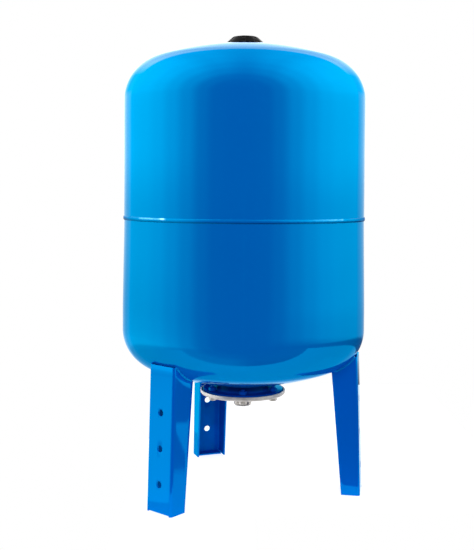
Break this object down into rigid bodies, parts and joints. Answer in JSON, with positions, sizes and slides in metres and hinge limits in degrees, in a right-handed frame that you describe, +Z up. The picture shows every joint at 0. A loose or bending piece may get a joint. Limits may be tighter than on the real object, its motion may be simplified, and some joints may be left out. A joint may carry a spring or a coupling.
{
  "type": "expansion vessel",
  "caption": "Vertical pressure vessel of two drawn shells on channel legs, with a flanged bottom pipe connection, rubber membrane and capped air valve on top.",
  "frame": {"origin": "on the vessel's axis at floor level, between the undersides of the feet", "axes": "+Z up along the vessel's axis; +Y away from the viewer, with one leg front left at azimuth -130 degrees, one right at -10 and one at the rear at 110"},
  "size_m": [0.454, 0.454, 0.8463],
  "materials": {
    "blue_enamel": "gloss baked enamel",
    "galvanised_steel": "satin zinc",
    "black_rubber": "moulded matt",
    "brass": "machined",
    "spring_steel": "drawn wire",
    "black_plastic": "moulded satin"
  },
  "bodies": {
    "vessel": {"upper_shell": "blue_enamel", "lower_shell": "blue_enamel", "girth_weld": "blue_enamel", "neck_flange": "blue_enamel", "neck_weld": "blue_enamel", "counter_flange": "galvanised_steel", "connection_nozzle": "galvanised_steel", "nozzle_weld": "galvanised_steel", "membrane": "black_rubber", "flange_bolt_1": "galvanised_steel", "flange_bolt_2": "galvanised_steel", "flange_bolt_3": "galvanised_steel", "flange_bolt_4": "galvanised_steel", "flange_bolt_5": "galvanised_steel", "flange_bolt_6": "galvanised_steel", "bolt_washer_1": "galvanised_steel", "bolt_washer_2": "galvanised_steel", "bolt_washer_3": "galvanised_steel", "bolt_washer_4": "galvanised_steel", "bolt_washer_5": "galvanised_steel", "bolt_washer_6": "galvanised_steel", "weld_nut_1": "blue_enamel", "weld_nut_2": "blue_enamel", "weld_nut_3": "blue_enamel", "weld_nut_4": "blue_enamel", "weld_nut_5": "blue_enamel", "weld_nut_6": "blue_enamel", "left_leg": "blue_enamel", "left_leg_weld_a": "blue_enamel", "left_leg_weld_b": "blue_enamel", "right_leg": "blue_enamel", "right_leg_weld_a": "blue_enamel", "right_leg_weld_b": "blue_enamel", "rear_leg": "blue_enamel", "rear_leg_weld_a": "blue_enamel", "rear_leg_weld_b": "blue_enamel", "valve_boss": "blue_enamel", "valve_stem": "brass", "valve_core": "brass", "valve_spring": "spring_steel"},
    "valve_pin": {"valve_pin": "spring_steel", "valve_gasket": "black_rubber"},
    "dust_cap": {"dust_cap": "black_plastic"},
    "protective_cap": {"protective_cap": "black_plastic"}
  },
  "joints": [
    {"name": "protective_cap_lift", "type": "slide", "parent": "vessel", "child": "protective_cap", "axis": [0, 0, 1], "range_m": [0, 0.042]},
    {"name": "dust_cap_lift", "type": "slide", "parent": "vessel", "child": "dust_cap", "axis": [0, 0, 1], "range_m": [0, 0.021]},
    {"name": "valve_pin_press", "type": "slide", "parent": "vessel", "child": "valve_pin", "axis": [0, 0, -1], "range_m": [0, 0.0012], "stiffness_N_per_m": 300, "springref_m": -0.002, "deforming": ["valve_spring"]}
  ],
  "couplings": [
    {"joint": "dust_cap_lift", "follows": "protective_cap_lift", "ratio": 0.5}
  ]
}
